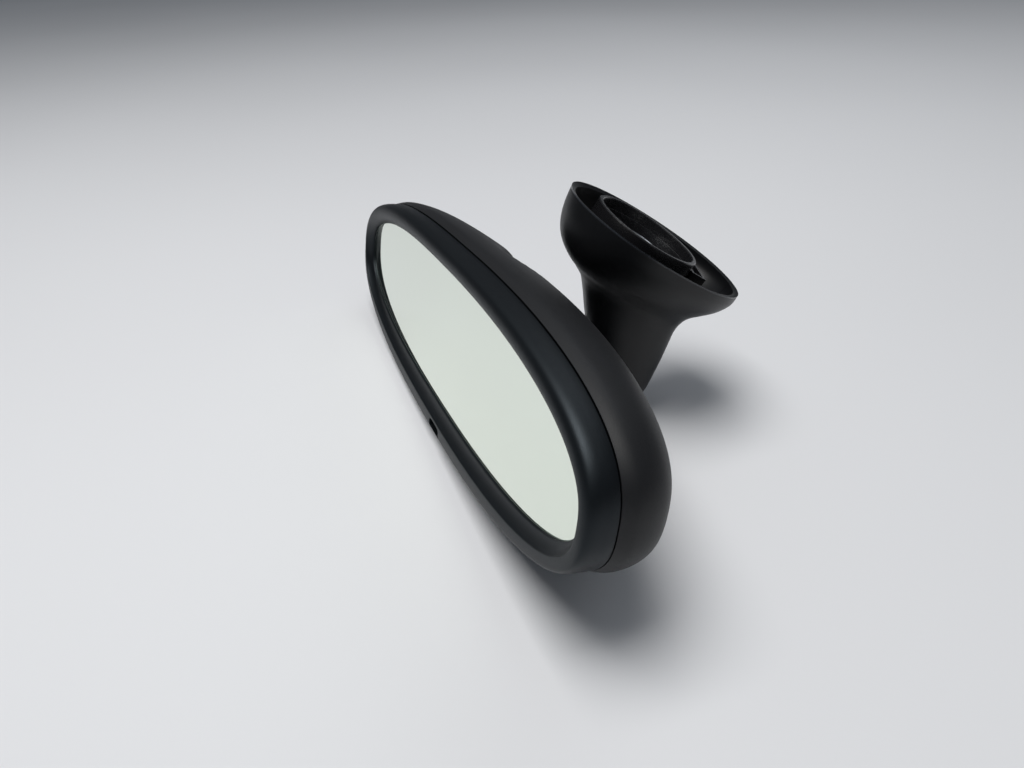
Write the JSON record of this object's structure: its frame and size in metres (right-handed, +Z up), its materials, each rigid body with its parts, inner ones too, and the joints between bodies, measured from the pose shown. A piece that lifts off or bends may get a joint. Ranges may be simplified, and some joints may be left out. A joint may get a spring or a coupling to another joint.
{
  "type": "interior rearview mirror",
  "caption": "Oval self-dimming interior rearview mirror: glass cell in a rounded bezel and housing, on a friction ball joint and a trumpet-shaped windscreen foot with a twist-on ring.",
  "frame": {"origin": "centre of the foot's mounting ring, on the plane of the covers' open mouth", "axes": "+Z up in the car, +Y forwards to the windscreen, +X across the car; the windscreen face slopes 33.5 degrees down towards +Y, and the head is shown turned 17.4 degrees, tilted 10.7 degrees and rolled 4.7 degrees on its ball"},
  "size_m": [0.2248, 0.1404, 0.084],
  "materials": {
    "bezel_plastic": "fine satin grain",
    "housing_plastic": "matt spark grain",
    "cover_plastic": "satin moulded",
    "sensor_lens": "smoked, polished",
    "sensor_chip": "clear resin over a die",
    "front_glass": "clear with ground edge",
    "dimming_gel": "pale green gel",
    "cell_seal": "grey epoxy",
    "mirror_glass": "silvered",
    "bus_metal": "tinned copper alloy",
    "foam": "foam tape",
    "moulded_plastic": "as moulded",
    "board_laminate": "solder mask",
    "chip_package": "moulded epoxy",
    "connector_nylon": "natural nylon",
    "zinc_screws": "zinc plated",
    "wire_jacket": "PVC jacket",
    "light_pipe": "clear acrylic",
    "stamped_steel": "pressed sheet",
    "liner_acetal": "natural acetal",
    "ball_steel": "phosphated steel",
    "die_cast": "die cast zinc",
    "spring_steel": "bright spring wire",
    "pin_plating": "plated"
  },
  "bodies": {
    "foot": {"ball_stud": "ball_steel", "stalk_core": "die_cast", "stalk_harness": "wire_jacket", "mount_ring": "moulded_plastic", "ring_screws": "zinc_screws", "lock_spring": "spring_steel", "spring_anchor": "moulded_plastic", "foot_connector": "moulded_plastic", "connector_pins": "pin_plating", "foot_cover_left": "cover_plastic", "foot_cover_right": "cover_plastic"},
    "turn_liner": {"liner_cup": "liner_acetal"},
    "tilt_liner": {"liner_ring": "liner_acetal"},
    "head": {"bezel": "bezel_plastic", "sensor_window": "sensor_lens", "glare_sensor": "sensor_chip", "front_glass": "front_glass", "ec_gel_layer": "dimming_gel", "cell_seal": "cell_seal", "rear_glass": "mirror_glass", "bus_clip_top": "bus_metal", "bus_clip_bottom": "bus_metal", "foam_tape": "foam", "carrier_plate": "moulded_plastic", "circuit_board": "board_laminate", "board_parts": "chip_package", "board_connector": "connector_nylon", "board_screws": "zinc_screws", "board_lead": "wire_jacket", "ambient_sensor": "sensor_chip", "ambient_light_pipe": "light_pipe", "ambient_window": "sensor_lens", "socket_seat": "moulded_plastic", "socket_retainer": "stamped_steel", "clamp_screws": "zinc_screws", "rear_housing": "housing_plastic"}
  },
  "joints": [
    {"name": "head_turn", "type": "hinge", "parent": "foot", "child": "turn_liner", "pos_m": [0, -0.0513, -0.0335], "axis": [0, 0, 1], "range_deg": [-42, 7.5]},
    {"name": "head_tilt", "type": "hinge", "parent": "turn_liner", "child": "tilt_liner", "pos_m": [0, -0.0513, -0.0335], "axis": [0.9542, 0.299, 0], "range_deg": [-6, 21]},
    {"name": "head_roll", "type": "hinge", "parent": "tilt_liner", "child": "head", "pos_m": [0, -0.0513, -0.0335], "axis": [-0.2938, 0.9376, -0.1857], "range_deg": [-3, 12.5]}
  ]
}
